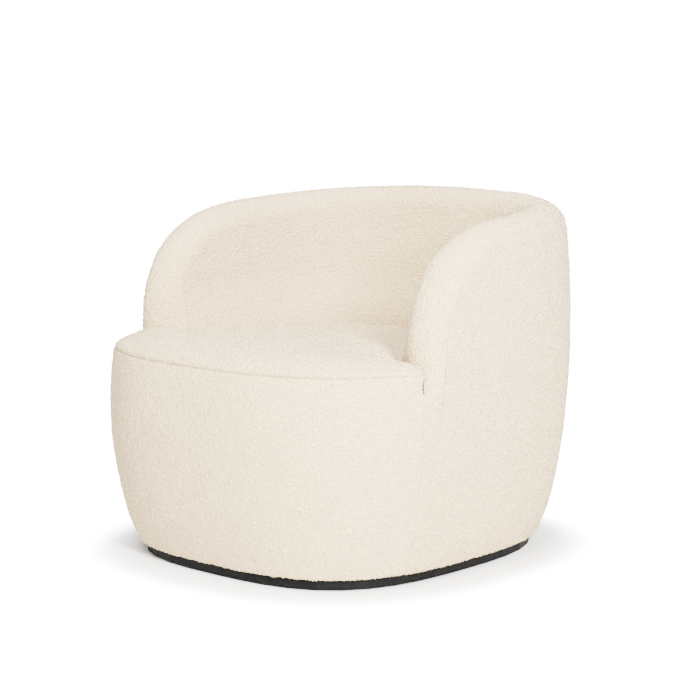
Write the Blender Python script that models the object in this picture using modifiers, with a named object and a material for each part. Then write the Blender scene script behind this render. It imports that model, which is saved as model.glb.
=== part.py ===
"""Upholstered tub armchair that turns on a low round swivel base.

Metres, +Z up, origin on the floor under the swivel axis. The sitter faces -Y, so left is +X.
A place in the upholstery is given by three values: the way along the plan's outline from the middle
of the back (positive to the left), the inset from that outline along its normal, and the height.
"""
import math

import bmesh
import bpy
import numpy as np
from mathutils import Matrix, Vector

COLLECTION = "upholstered_armchair"

# overall shape
WIDTH = 0.82
DEPTH_FRONT = 0.426          # swivel axis to the front of the plan's outline
DEPTH_BACK = 0.447           # swivel axis to the back of the plan's outline
HEIGHT = 0.701
PLAN_POWER = 2.75            # 2 is an ellipse, higher is squarer
WIDEST_Z = 0.447             # height where the outline is reached
HEM_Z = 0.0225
HEM_TUCK = 0.046             # how far the walls lean in between there and the hem
HEM_CURL = 0.019             # extra tuck, nearly all of it next to the hem
RIM_TUCK = 0.019             # how far they lean in up to the rim

# arms and rim
RIM_DROP = 0.049
RIM_DROP_POWER = 1.65
ARM_FRONT_Y = -0.188         # where the arm ends and the apron begins
ARM_FRONT_Z = 0.395          # foot of the rounded arm front
ARM_CURVE_LENGTH = 0.279
ARM_CURVE_POWER = 2.7
WALL = 0.09
SEAT_SWELL = 0.020           # extra thickness of the wall's inner face beside the seat
SWELL_LOW_Z = 0.40
SWELL_HIGH_Z = 0.52

# seat and apron
SEAT_SEAM_Z = 0.408
SEAT_CROWN = 0.022           # crown above the front seam
SEAT_SIDE_ROLL = 0.050       # how far the cushion rolls down beside the wall
SEAT_CREASE_GAP = 0.0045
SEAT_CORNER = 0.012          # the seat's front corner stands this far before the arm
SEAT_SEAM_GAP = 0.0036
APRON_TUCK = 0.017           # lean of the apron's upper half
APRON_TUCK_Z = 0.22
APRON_FADE = 0.10            # the lean starts this far from the side seams

# cloth and foam
CLOTH = 0.003
CLOTH_GAP = 0.0018
SEAM_GAP = 0.0012
OUTER_FOAM = 0.013
NOSE_EASE = 0.011            # the foam thins out by this towards the arm's front
NOSE_EASE_LENGTH = 0.15
NOSE_SETBACK = 0.014         # the foam stops this far behind the cloth
RIM_SEAM_DROP = 0.030        # outside seam below the crest
RIM_SEAM_GAP = 0.003
CLOTH_LOW_Z = 0.330          # inside covers end here, in the crease behind the seat
HEM_RETURN = 0.010           # width of the hem folded under
BACK_SEAM_ANGLE = 49.0       # inside seams, degrees from the middle of the back
OUTSIDE_SEAM_ANGLE = 38.0
LEAST_HALF_WALL = 0.012
LEAST_HALF_FOAM = 0.002

# frame
TOUCH = 0.0003
FRAME_GAP = 0.004
RIB_WIDTH = 0.035
RIB_THICKNESS = 0.020
FRAME_RING_WIDTH = 0.060
SEAT_RING_WIDTH = 0.042
RAIL_HEIGHT = 0.038
SEAT_FRAME_Z = 0.270
SEAT_FRAME_HEIGHT = 0.040
TOP_RAIL_DEPTH = 0.045       # crest of the rim to the top of the rail
TOP_RAIL_HEIGHT = 0.028
TOP_RAIL_WIDTH = 0.025
TOP_RAIL_END = 0.13          # rail ends this far behind the arm front
BACK_RIB_ANGLES = (0.0, 36.0, 62.0)
SIDE_RIB_ANGLE = 88.0
FRONT_RIB_ANGLES = (146.0, 180.0)
DUST_COVER = 0.0012
PLINTH = 0.0235              # width of the skirt that hides the base
PLINTH_STEP = 0.013          # its outer part, below the foam
PLINTH_GAP = 0.0015          # hem to skirt
PLINTH_Z = 0.003             # clear of the floor when the seat turns
SWIVEL_RAIL_WIDTH = 0.060
SWIVEL_RAIL_Y = 0.080

# springs
SPRING_COUNT = 5
SPRING_PITCH = 0.100
SPRING_WIRE = 0.0018
SPRING_SWING = 0.024
SPRING_STEP = 0.034
PAD_THICKNESS = 0.006
PAD_INSET = 0.075

# base and swivel
FLOOR_PAD = 0.002
FLOOR_PAD_RADIUS = 0.286
BASE_RADIUS = 0.300
BASE_THICKNESS = 0.016
PLATE = 0.200
PLATE_THICKNESS = 0.003
PLATE_CORNER = 0.015
BALL_COUNT = 10
BALL_RADIUS = 0.0049
BALL_CIRCLE = 0.055
BALL_CLEARANCE = 0.0004
CAGE_WIDTH = 0.020
CAGE_THICKNESS = 0.002
PIN_RADIUS = 0.006
PIN_HEAD_RADIUS = 0.011
PIN_HEAD = 0.0025
PIN_CLEARANCE = 0.0008
SCREW_RADIUS = 0.0028
SCREW_HEAD_RADIUS = 0.006
SCREW_HEAD = 0.0022
SCREW_LENGTH = 0.012
BOLT_LENGTH = 0.026
SCREW_CLEARANCE = 0.0005
SCREW_PLACE = 0.080          # x and y of the four screws
PILOT_RADIUS = SCREW_RADIUS + SCREW_CLEARANCE
PILOT_SPARE = 0.001          # pilot holes are this much deeper than the screws
PIN_POCKET_RADIUS = 0.014
PIN_POCKET = 0.0041          # depth of the pocket for the pin's lower head
BASE_CHAMFER = 0.003
CUT_PAST = 0.01              # cutters run this far past the face

STATION = 0.070              # spacing of the upholstery's sections
NOSE_STATIONS = (0.11, 0.075, 0.045, 0.022, 0.008)

BOUCLE = ((0.84, 0.79, 0.72), 0.95, 0.0)
FOAM = ((0.93, 0.85, 0.62), 0.9, 0.0)
FELT = ((0.35, 0.35, 0.36), 0.95, 0.0)
BIRCH = ((0.74, 0.58, 0.39), 0.6, 0.0)
BLACK_LINING = ((0.03, 0.03, 0.035), 0.95, 0.0)
BLACK_PAINT = ((0.02, 0.02, 0.022), 0.45, 0.0)
ZINC = ((0.62, 0.63, 0.65), 0.35, 1.0)
SPRING_STEEL = ((0.35, 0.36, 0.38), 0.4, 1.0)

# heights of the stack from the floor up
BASE_Z = FLOOR_PAD + TOUCH
LOWER_PLATE_Z = BASE_Z + BASE_THICKNESS + TOUCH
LOWER_PLATE_TOP = LOWER_PLATE_Z + PLATE_THICKNESS
BALL_Z = LOWER_PLATE_TOP + BALL_CLEARANCE + BALL_RADIUS
UPPER_PLATE_Z = BALL_Z + BALL_RADIUS + BALL_CLEARANCE
UPPER_PLATE_TOP = UPPER_PLATE_Z + PLATE_THICKNESS
FRAME_Z = UPPER_PLATE_TOP + TOUCH
RIB_Z = FRAME_Z + RAIL_HEIGHT + TOUCH
SEAT_FRAME_TOP = SEAT_FRAME_Z + SEAT_FRAME_HEIGHT
SPRING_Z = SEAT_FRAME_TOP + TOUCH + SPRING_WIRE
PAD_Z = SPRING_Z + SPRING_WIRE + 2 * TOUCH
SEAT_FOAM_Z = PAD_Z + PAD_THICKNESS + TOUCH
FOAM_LOW_Z = HEM_Z + CLOTH + 0.002
FOAM_DEPTH = CLOTH + CLOTH_GAP
SEAT_FOAM_DEPTH = CLOTH + 2 * CLOTH_GAP
RIB_INSET = FOAM_DEPTH + OUTER_FOAM + FRAME_GAP
HALF_WALL = WALL / 2
DUST_COVER_HOLE = 0.74 * PLATE


def smoothstep(value):
    value = min(max(value, 0.0), 1.0)
    return value * value * (3 - 2 * value)


def plan_radius(angle):
    """Distance from the swivel axis to the outline, at an angle from the middle of the back."""
    depth = DEPTH_BACK if math.cos(angle) > 0 else DEPTH_FRONT
    across = abs(math.sin(angle) / (WIDTH / 2)) ** PLAN_POWER
    along = abs(math.cos(angle) / depth) ** PLAN_POWER
    return (across + along) ** (-1 / PLAN_POWER)


OUTLINE_ANGLES = np.linspace(-2 * math.pi, 2 * math.pi, 2881)
OUTLINE_RADII = np.array([plan_radius(angle) for angle in OUTLINE_ANGLES])
OUTLINE_X = OUTLINE_RADII * np.sin(OUTLINE_ANGLES)
OUTLINE_Y = OUTLINE_RADII * np.cos(OUTLINE_ANGLES)
OUTLINE_RUN = np.concatenate([[0], np.cumsum(np.hypot(np.diff(OUTLINE_X), np.diff(OUTLINE_Y)))])
OUTLINE_RUN -= OUTLINE_RUN[len(OUTLINE_RUN) // 2]
HALF_ROUND = OUTLINE_RUN[-1] / 2


def way_at(degrees):
    """Way along the outline at an angle from the middle of the back."""
    return float(np.interp(math.radians(degrees), OUTLINE_ANGLES, OUTLINE_RUN))


def plan_point(way):
    x, y = (float(np.interp(way, OUTLINE_RUN, line)) for line in (OUTLINE_X, OUTLINE_Y))
    return Vector((x, y, 0))


def plan_normal(way):
    """Unit normal of the outline, pointing out."""
    ahead = plan_point(way + 0.004) - plan_point(way - 0.004)
    return Vector((-ahead.y, ahead.x, 0)).normalized()


def place(way, inset, z):
    spot = plan_point(way) - plan_normal(way) * inset
    return Vector((spot.x, spot.y, z))


def front_way():
    """Way along the outline to the left arm's front."""
    half = (OUTLINE_RUN > 0.3) & (OUTLINE_RUN < HALF_ROUND - 0.05)
    return float(np.interp(-ARM_FRONT_Y, -OUTLINE_Y[half], OUTLINE_RUN[half]))


ARM_WAY = front_way()


def round_way(way):
    """Distance from the middle of the back, either way round."""
    return HALF_ROUND - abs(HALF_ROUND - abs(way))


def skin_inset(way, z):
    """How far the outer face is inside the outline."""
    low = min(max((WIDEST_Z - z) / (WIDEST_Z - HEM_Z), 0), 1)
    high = min(max((z - WIDEST_Z) / (HEIGHT - WIDEST_Z), 0), 1)
    inset = HEM_TUCK * low**2 + HEM_CURL * low**8 + RIM_TUCK * high**2
    fade = smoothstep((round_way(way) - ARM_WAY) / APRON_FADE)
    lean = max((z - APRON_TUCK_Z) / (SEAT_SEAM_Z - APRON_TUCK_Z), 0)
    return inset + APRON_TUCK * fade * lean**2


def rim_height(way):
    return HEIGHT - RIM_DROP * (abs(way) / ARM_WAY) ** RIM_DROP_POWER


def wall_top(way):
    """Crest of the wall: the rim, and the rounded front of the arm."""
    behind = max(ARM_WAY - abs(way), 0)
    if behind >= ARM_CURVE_LENGTH:
        return rim_height(way)
    rise = (1 - (1 - behind / ARM_CURVE_LENGTH) ** ARM_CURVE_POWER) ** (1 / ARM_CURVE_POWER)
    return ARM_FRONT_Z + (rim_height(way) - ARM_FRONT_Z) * rise


CREST_WAYS = np.append(np.linspace(0, ARM_WAY - 0.1, 60), ARM_WAY - 0.1 * np.linspace(1, 0, 60) ** 2)
CREST_HEIGHTS = np.array([wall_top(way) for way in CREST_WAYS])


def half_wall(way, z, depth):
    """Half the wall's thickness, set back by depth. It closes in a half round along the crest."""
    radius = HALF_WALL - depth
    away = float(np.hypot(CREST_WAYS - abs(way), CREST_HEIGHTS - z).min()) - depth
    near = 1 - min(max(away / radius, 0), 1)
    return max(radius * math.sqrt(1 - near * near), LEAST_HALF_WALL - 2 * depth, LEAST_HALF_FOAM)


def swell(z):
    return SEAT_SWELL * (1 - smoothstep((z - SWELL_LOW_Z) / (SWELL_HIGH_Z - SWELL_LOW_Z)))


def outer_inset(way, z, depth):
    return skin_inset(way, z) + HALF_WALL - half_wall(way, z, depth)


def inner_inset(way, z, depth):
    return skin_inset(way, z) + HALF_WALL + half_wall(way, z, depth) + swell(z)


def outer_side(way, low, high, depth, shares):
    """Points up the wall's outer face, set back by depth."""
    heights = [low + (high - low) * share for share in shares]
    return [(outer_inset(way, z, depth), z) for z in heights]


def inner_side(way, depth):
    """Points down the wall's inner face, set back by depth, at the same heights for all layers."""
    top = wall_top(way)
    heights = [top + (CLOTH_LOW_Z - top) * share for share in INNER_SHARES]
    spots = []
    for index, z in enumerate(heights):
        z = min(z, top - depth - 0.0005 * index)
        spots.append((inner_inset(way, z, depth), z))
    return spots


WALL_SHARES = (0, 0.03, 0.09, 0.2, 0.4, 0.62, 0.8, 0.91, 1.0)
CREST_SHARES = (0, 0.45, 0.8, 0.95, 1.0)
INNER_SHARES = (0, 0.03, 0.1, 0.22, 0.45, 0.6, 0.74, 0.87, 1.0)
SHELL_SHARES = (0, 0.15, 0.3, 0.45, 0.7, 0.88, 0.96, 1.0)
APRON_SHARES = (0, 0.04, 0.12, 0.25, 0.45, 0.6, 0.73, 0.86, 1.0)
APRON_HEIGHTS = [FOAM_LOW_Z + (SEAT_SEAM_Z - FOAM_LOW_Z) * share for share in APRON_SHARES]
APRON_HEIGHTS = sorted([*APRON_HEIGHTS, SEAT_FOAM_Z - TOUCH])


# ---- Blender helpers ----

def clear_scene():
    for thing in list(bpy.data.objects):
        bpy.data.objects.remove(thing, do_unlink=True)


def new_collection(name):
    group = bpy.data.collections.new(name)
    bpy.context.scene.collection.children.link(group)
    return group


def paint(thing, look):
    colour, roughness, metallic = look
    material = bpy.data.materials.new(thing.name)
    material.use_nodes = True
    shader = material.node_tree.nodes["Principled BSDF"]
    shader.inputs["Base Color"].default_value = (*colour, 1.0)
    shader.inputs["Roughness"].default_value = roughness
    shader.inputs["Metallic"].default_value = metallic
    material.diffuse_color = (*colour, 1.0)
    thing.data.materials.append(material)


def add(name, data, look, group="parts"):
    thing = bpy.data.objects.new(name, data)
    GROUPS[group].objects.link(thing)
    if look:
        paint(thing, look)
    return thing


def mesh_from(name, work):
    mesh = bpy.data.meshes.new(name)
    work.to_mesh(mesh)
    work.free()
    return mesh


def box(name, size, centre, look, bevel=0.0):
    work = bmesh.new()
    bmesh.ops.create_cube(work, size=1.0)
    bmesh.ops.scale(work, vec=size, verts=work.verts)
    thing = add(name, mesh_from(name, work), look)
    thing.location = centre
    if bevel:
        edge = thing.modifiers.new("edges", "BEVEL")
        edge.width = bevel
        edge.segments = 2
        edge.limit_method = "ANGLE"
    return thing


def rod(name, radius, low, high, spot, look, sides=16, group="parts"):
    work = bmesh.new()
    bmesh.ops.create_cone(
        work, cap_ends=True, segments=sides, radius1=radius, radius2=radius, depth=high - low
    )
    thing = add(name, mesh_from(name, work), look, group)
    thing.location = (spot[0], spot[1], (low + high) / 2)
    if group == "cutters":
        thing.hide_render = True
        thing.display_type = "WIRE"
    return thing


def turned(name, profile, look, steps=24):
    """Profile of (radius, height) pairs from top to bottom, turned about Z."""
    work = bmesh.new()
    spots = [work.verts.new((radius, 0, height)) for radius, height in profile]
    for first, second in zip(spots, spots[1:]):
        work.edges.new((first, second))
    thing = add(name, mesh_from(name, work), look)
    screw = thing.modifiers.new("turn", "SCREW")
    screw.steps = steps
    screw.render_steps = steps
    screw.use_merge_vertices = True
    screw.merge_threshold = 0.0001
    return thing


def cut(thing, cutter):
    hole = thing.modifiers.new("hole", "BOOLEAN")
    hole.object = cutter
    hole.operation = "DIFFERENCE"
    hole.solver = "EXACT"


def outline_spline(curve, points):
    spline = curve.splines.new("POLY")
    spline.points.add(len(points) - 1)
    for point, spot in zip(spline.points, points):
        point.co = (spot[0], spot[1], 0, 1)
    spline.use_cyclic_u = True


def sheet(name, outlines, thickness, look):
    """Flat piece from closed outlines in its own XY plane; a second outline is a hole."""
    curve = bpy.data.curves.new(name, "CURVE")
    curve.dimensions = "2D"
    curve.fill_mode = "BOTH"
    curve.extrude = thickness / 2
    for points in outlines:
        outline_spline(curve, points)
    return add(name, curve, look)


def surface(name, rows, look, thickness=0.0, closed=False):
    """Loft through rows of points. Solidify makes an open one a shell, laid inwards."""
    work = bmesh.new()
    grid = [[work.verts.new(spot) for spot in row] for row in rows]
    for row, after in zip(grid, grid[1:] + grid[:1] if closed else grid[1:]):
        for one, two, three, four in zip(row, row[1:], after[1:], after):
            work.faces.new((one, two, three, four))
    if closed:
        work.faces.new([row[-1] for row in reversed(grid)])
    for face in work.faces:
        face.smooth = True
    thing = add(name, mesh_from(name, work), look)
    if thickness:
        shell = thing.modifiers.new("cloth", "SOLIDIFY")
        shell.thickness = thickness
        shell.offset = -1.0
    return thing


def solid(name, rings, look):
    """Closed loft: each ring is a closed section, and the first and last are capped."""
    work = bmesh.new()
    grid = [[work.verts.new(spot) for spot in ring] for ring in rings]
    for ring, after in zip(grid, grid[1:]):
        for one, two, three, four in zip(ring, ring[1:] + ring[:1], after[1:] + after[:1], after):
            work.faces.new((one, two, three, four))
    work.faces.new(grid[0][::-1])
    work.faces.new(grid[-1])
    bmesh.ops.recalc_face_normals(work, faces=work.faces)
    for face in work.faces:
        face.smooth = True
    return add(name, mesh_from(name, work), look)


def spread(marks):
    """Ways that include all the marks, with even steps of at most STATION between them."""
    ways = [marks[0]]
    for low, high in zip(marks, marks[1:]):
        count = math.ceil((high - low) / STATION)
        ways += [low + (high - low) * step / count for step in range(1, count + 1)]
    return ways


def stations(start, end):
    """The outline's sections from start to end, the same ones for all layers."""
    inside = [way for way in ALL_WAYS if start + 0.003 < way < end - 0.003]
    return [start, *inside, end]


def all_ways():
    seams = [way_at(OUTSIDE_SEAM_ANGLE), way_at(BACK_SEAM_ANGLE)]
    half = spread([0, *seams, ARM_WAY - NOSE_STATIONS[0]])
    half += [ARM_WAY - back for back in NOSE_STATIONS[1:]] + [ARM_WAY]
    front = spread([ARM_WAY, HALF_ROUND, 2 * HALF_ROUND - ARM_WAY])
    return [-way for way in half[:0:-1]] + half + front[1:]


ALL_WAYS = all_ways()


def swept(ways, section):
    """Section(way) gives (inset, z) pairs; the result is a row of points for each way."""
    return [[place(way, inset, z) for inset, z in section(way)] for way in ways]


# ---- base and swivel ----

def four_places():
    signs = ((1, 1), (-1, 1), (-1, -1), (1, -1))
    return [(x * SCREW_PLACE, y * SCREW_PLACE) for x, y in signs]


def square_outline(side, corner):
    """Square with rounded corners."""
    points = []
    for quarter in range(4):
        middle = Matrix.Rotation(quarter * math.pi / 2, 2) @ Vector((side / 2 - corner, side / 2 - corner))
        for step in range(5):
            turn = quarter * math.pi / 2 + step * math.pi / 8
            points.append((middle.x + corner * math.cos(turn), middle.y + corner * math.sin(turn)))
    return points


def circle_outline(radius, sides=24):
    turns = [2 * math.pi * step / sides for step in range(sides)]
    return [(radius * math.cos(turn), radius * math.sin(turn)) for turn in turns]


def moved(outline, spot):
    return [(x + spot[0], y + spot[1]) for x, y in outline]


def floor_base():
    edge = FLOOR_PAD_RADIUS
    turned("floor_pad", [(0, FLOOR_PAD), (edge, FLOOR_PAD), (edge, 0), (0, 0)], FELT, 48)
    top = BASE_Z + BASE_THICKNESS
    disc = turned(
        "base_disc",
        [(0, top), (BASE_RADIUS - BASE_CHAMFER, top), (BASE_RADIUS, top - BASE_CHAMFER),
         (BASE_RADIUS, BASE_Z), (0, BASE_Z)],
        BLACK_PAINT, 48,
    )
    pocket = rod("pin_pocket", PIN_POCKET_RADIUS, top - PIN_POCKET, top + CUT_PAST, (0, 0), None, 24, "cutters")
    cut(disc, pocket)
    low = LOWER_PLATE_TOP - SCREW_LENGTH - PILOT_SPARE
    for index, spot in enumerate(four_places()):
        pilot = rod(f"base_pilot_{index + 1}", PILOT_RADIUS, low, top + CUT_PAST, spot, None, 12, "cutters")
        cut(disc, pilot)


def swivel_plate(name, z):
    holes = [circle_outline(PIN_RADIUS + PIN_CLEARANCE, 16)]
    hole = circle_outline(PILOT_RADIUS, 10)
    holes += [moved(hole, spot) for spot in four_places()]
    plate = sheet(name, [square_outline(PLATE, PLATE_CORNER), *holes], PLATE_THICKNESS, ZINC)
    plate.location.z = z + PLATE_THICKNESS / 2


def swivel():
    swivel_plate("swivel_lower_plate", LOWER_PLATE_Z)
    swivel_plate("swivel_upper_plate", UPPER_PLATE_Z)
    low = LOWER_PLATE_Z - TOUCH
    high = UPPER_PLATE_TOP + TOUCH
    head = PIN_HEAD_RADIUS
    turned(
        "swivel_pin",
        [(0, high + PIN_HEAD), (0.8 * head, high + PIN_HEAD), (head, high + PIN_HEAD / 2), (head, high),
         (PIN_RADIUS, high), (PIN_RADIUS, low), (head, low), (head, low - PIN_HEAD), (0, low - PIN_HEAD)],
        ZINC, 16,
    )
    ball_cage()
    for index, spot in enumerate(four_places()):
        fastener(f"base_screw_{index + 1}", spot, LOWER_PLATE_TOP + TOUCH, 1, SCREW_LENGTH)
        fastener(f"plate_bolt_{index + 1}", spot, UPPER_PLATE_Z - TOUCH, -1, BOLT_LENGTH)


def fastener(name, spot, seat, up, length):
    """Round-headed screw: head on the seat height, shank on the other side of it."""
    profile = [(0, SCREW_HEAD), (SCREW_HEAD_RADIUS * 0.7, SCREW_HEAD), (SCREW_HEAD_RADIUS, 0),
               (SCREW_RADIUS, 0), (SCREW_RADIUS, -length + 0.002), (0, -length)]
    thing = turned(name, profile, ZINC, 10)
    thing.location = (*spot, seat)
    if up < 0:
        thing.rotation_euler.x = math.pi


def ball_cage():
    """Flat ring that keeps the balls apart, in one piece with them."""
    inner, outer = BALL_CIRCLE - CAGE_WIDTH / 2, BALL_CIRCLE + CAGE_WIDTH / 2
    half = CAGE_THICKNESS / 2
    profile = [(inner, half), (outer, half), (outer, -half), (inner, -half), (inner, half)]
    ring = turned("ball_cage", profile, ZINC, 24)
    ring.location.z = BALL_Z
    for index in range(BALL_COUNT):
        turn = 2 * math.pi * index / BALL_COUNT
        work = bmesh.new()
        bmesh.ops.create_uvsphere(work, u_segments=8, v_segments=6, radius=BALL_RADIUS)
        ball = add(f"ball_{index + 1}", mesh_from("ball", work), None, "cutters")
        ball.location = (BALL_CIRCLE * math.cos(turn), BALL_CIRCLE * math.sin(turn), BALL_Z)
        ball.hide_render = True
        ball.display_type = "WIRE"
        joined = ring.modifiers.new("ball", "BOOLEAN")
        joined.object = ball
        joined.operation = "UNION"
        joined.solver = "EXACT"


# ---- frame ----

RING_WAYS = np.linspace(-HALF_ROUND, HALF_ROUND, 41)[:-1]


def ring_outline(inset):
    return [place(way, inset, 0).xy for way in RING_WAYS]


def reach(axis, offset, inset, forward=False):
    """How far the outline at an inset reaches along X or Y, at an offset across it."""
    spots = np.array([place(way, inset, 0).xy for way in np.linspace(-HALF_ROUND, HALF_ROUND, 361)])
    across, along = (1, 0) if axis == "x" else (0, 1)
    side = spots[:, along] * (-1 if forward else 1)
    near = side > 0
    order = np.argsort(spots[near, across])
    return float(np.interp(offset, spots[near, across][order], side[near][order]))


def frame_rings():
    outer = skin_inset(0, FRAME_Z) + FOAM_DEPTH + OUTER_FOAM + FRAME_GAP
    inner = outer + FRAME_RING_WIDTH
    ring = sheet("bottom_frame", [ring_outline(outer), ring_outline(inner)], RAIL_HEIGHT, BIRCH)
    ring.location.z = FRAME_Z + RAIL_HEIGHT / 2
    deck_outer = rib_inset(HALF_ROUND, SEAT_FRAME_TOP) + RIB_WIDTH + 0.0015
    deck = sheet("seat_frame", [ring_outline(deck_outer), ring_outline(deck_outer + SEAT_RING_WIDTH)],
                 SEAT_FRAME_HEIGHT, BIRCH)
    deck.location.z = SEAT_FRAME_Z + SEAT_FRAME_HEIGHT / 2
    edge = SWIVEL_RAIL_Y + SWIVEL_RAIL_WIDTH / 2
    for name, side in (("rear_swivel_rail", 1), ("front_swivel_rail", -1)):
        half = reach("x", side * edge, inner) - 0.002
        rail = box(name, (2 * half, SWIVEL_RAIL_WIDTH, RAIL_HEIGHT),
                   (0, side * SWIVEL_RAIL_Y, FRAME_Z + RAIL_HEIGHT / 2), BIRCH, 0.002)
        for x in (SCREW_PLACE, -SCREW_PLACE):
            label = "left" if x > 0 else "right"
            top = UPPER_PLATE_Z + BOLT_LENGTH + PILOT_SPARE
            pilot = rod(f"{name}_pilot_{label}", PILOT_RADIUS, FRAME_Z - CUT_PAST, top,
                        (x, side * SCREW_PLACE), None, 12, "cutters")
            cut(rail, pilot)


def rib_inset(way, z):
    return skin_inset(way, z) + RIB_INSET


def rib(name, way, top):
    """Upright plate square to the wall, with both edges following the wall's lean."""
    heights = [RIB_Z + (top - RIB_Z) * share for share in (0, 0.12, 0.3, 0.5, 0.66, 0.84, 1.0)]
    outer = [(rib_inset(way, z), z) for z in heights]
    inner = [(inset + RIB_WIDTH, z) for inset, z in reversed(outer)]
    plate = sheet(name, [outer + inner], RIB_THICKNESS, BIRCH)
    inward = -plan_normal(way)
    upward = Vector((0, 0, 1))
    along = inward.cross(upward)
    turn = Matrix((inward, upward, along)).transposed().to_4x4()
    plate.matrix_world = Matrix.Translation(plan_point(way)) @ turn


def rib_top(way):
    return rim_height(way) - TOP_RAIL_DEPTH - TOP_RAIL_HEIGHT - 0.0015


def uprights():
    rib("back_rib_centre", 0.0, rib_top(0.0))
    for side, sign in (("left", 1), ("right", -1)):
        _, back, corner = BACK_RIB_ANGLES
        for label, angle in (("back", back), ("corner", corner), ("side", SIDE_RIB_ANGLE)):
            way = sign * way_at(angle)
            rib(f"{label}_rib_{side}", way, rib_top(way))
        post = sign * (ARM_WAY - TOP_RAIL_END - RIB_THICKNESS)
        rib(f"arm_post_{side}", post, rib_top(post))
        rib(f"front_rib_{side}", sign * way_at(FRONT_RIB_ANGLES[0]), SEAT_FRAME_TOP)
    rib("front_rib_centre", way_at(FRONT_RIB_ANGLES[1]), SEAT_FRAME_TOP)


def top_rail():
    end = ARM_WAY - TOP_RAIL_END

    def section(way):
        top = rim_height(way) - TOP_RAIL_DEPTH
        low = top - TOP_RAIL_HEIGHT
        near = skin_inset(way, low) + HALF_WALL - TOP_RAIL_WIDTH / 2 - 0.004
        return [(near, low), (near, top), (near + TOP_RAIL_WIDTH, top), (near + TOP_RAIL_WIDTH, low)]

    solid("top_rail", swept(stations(-end, end), section), BIRCH)


def springs():
    inset = rib_inset(0, SEAT_FRAME_Z) + RIB_WIDTH + SEAT_RING_WIDTH / 2
    for index in range(SPRING_COUNT):
        x = (index - (SPRING_COUNT - 1) / 2) * SPRING_PITCH
        back = reach("y", x, inset)
        front = -reach("y", x, inset, forward=True)
        count = round((back - front) / SPRING_STEP)
        curve = bpy.data.curves.new(f"seat_spring_{index + 1}", "CURVE")
        curve.dimensions = "3D"
        curve.bevel_depth = SPRING_WIRE
        curve.bevel_resolution = 2
        curve.use_fill_caps = True
        spline = curve.splines.new("POLY")
        spline.points.add(count)
        for step, point in enumerate(spline.points):
            swing = SPRING_SWING * (1 if step % 2 else -1)
            point.co = (x + swing, front + (back - front) * step / count, SPRING_Z, 1)
        add(curve.name, curve, SPRING_STEEL)
    pad = sheet("spring_pad", [ring_outline(PAD_INSET)], PAD_THICKNESS, FELT)
    pad.location.z = PAD_Z + PAD_THICKNESS / 2


# ---- foam ----

def cavity_top(way):
    """The foam's hollow for the frame fades out towards the arm's front."""
    full = rim_height(way) - TOP_RAIL_DEPTH + FRAME_GAP
    low = CLOTH_LOW_Z
    return low + (full - low) * smoothstep((ARM_WAY - abs(way) - 0.03) / 0.085)


def wall_foam_section(way):
    """Upside-down U around the frame: out, over the rim and down behind the seat."""
    depth = FOAM_DEPTH + NOSE_EASE * smoothstep(1 - (ARM_WAY - abs(way)) / NOSE_EASE_LENGTH)
    top = wall_top(way) - depth
    low = CLOTH_LOW_Z
    seam = wall_top(way) - RIM_SEAM_DROP
    outer = outer_side(way, FOAM_LOW_Z, seam, depth, WALL_SHARES)
    outer += outer_side(way, seam, top, depth, CREST_SHARES[1:])
    inner = inner_side(way, depth)
    roof = cavity_top(way)
    levels = [low + (roof - low) * share for share in (0, 0.33, 0.55, 0.78, 1)]
    hollow = [(rib_inset(way, z) + RIB_WIDTH + FRAME_GAP / 2, z) for z in levels]
    heights = [roof + (FOAM_LOW_Z - roof) * share for share in SHELL_SHARES]
    shell = [(skin_inset(way, z) + FOAM_DEPTH + OUTER_FOAM, z) for z in heights]
    return outer + inner + hollow + shell


def wall_foam():
    seam = way_at(BACK_SEAM_ANGLE)
    end = ARM_WAY - NOSE_SETBACK
    solid("back_foam", swept(stations(-seam + SEAM_GAP, seam - SEAM_GAP), wall_foam_section), FOAM)
    left = stations(seam, end)
    solid("arm_foam_left", swept(left, wall_foam_section), FOAM)
    solid("arm_foam_right", swept([-way for way in left], wall_foam_section), FOAM)


def front_stations(back=0.0):
    """Ways from the left arm's front, round the front, to the right arm's front."""
    return stations(ARM_WAY + back, 2 * HALF_ROUND - ARM_WAY - back)


def apron_foam():
    def section(way):
        heights = [z for z in APRON_HEIGHTS if z < SEAT_FOAM_Z]
        outer = [(skin_inset(way, z) + FOAM_DEPTH, z) for z in heights]
        inner = [(skin_inset(way, z) + FOAM_DEPTH + OUTER_FOAM, z) for z in reversed(heights)]
        return outer + inner

    solid("apron_foam", swept(front_stations(SEAM_GAP), section), FOAM)


SEAT_CENTRE = Vector((0, -0.10, 0))


def seat_outline(z, depth):
    """Seat's edge at a height: inside the wall at the back and sides, the full plan at the front."""
    spots = []
    for way in stations(-ARM_WAY - depth, ARM_WAY + depth):
        inset = skin_inset(way, z) + WALL + SEAT_SWELL + SEAT_CREASE_GAP + depth
        spots.append((place(way, inset, 0), False))
    for way in front_stations(SEAT_CORNER + 1.3 * depth):
        spots.append((place(way, skin_inset(way, z) + depth, 0), True))
    return spots


def seat_ring(z_side, z_front, inwards, depth):
    """Ring of the seat, moved towards its middle by inwards; the front edge is higher."""
    ring = []
    high, low = seat_outline(SEAT_SEAM_Z, depth), seat_outline(SEAT_FOAM_Z, depth)
    for (spot, front), (low_spot, _) in zip(high, low):
        z = z_front if front else z_side
        share = min(max((z - SEAT_FOAM_Z) / (SEAT_SEAM_Z - SEAT_FOAM_Z), 0), 1)
        edge = low_spot.lerp(spot, share)
        toward = SEAT_CENTRE - edge
        edge = edge + toward * min(inwards / toward.length, 0.97)
        ring.append(Vector((edge.x, edge.y, z)))
    return ring


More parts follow.
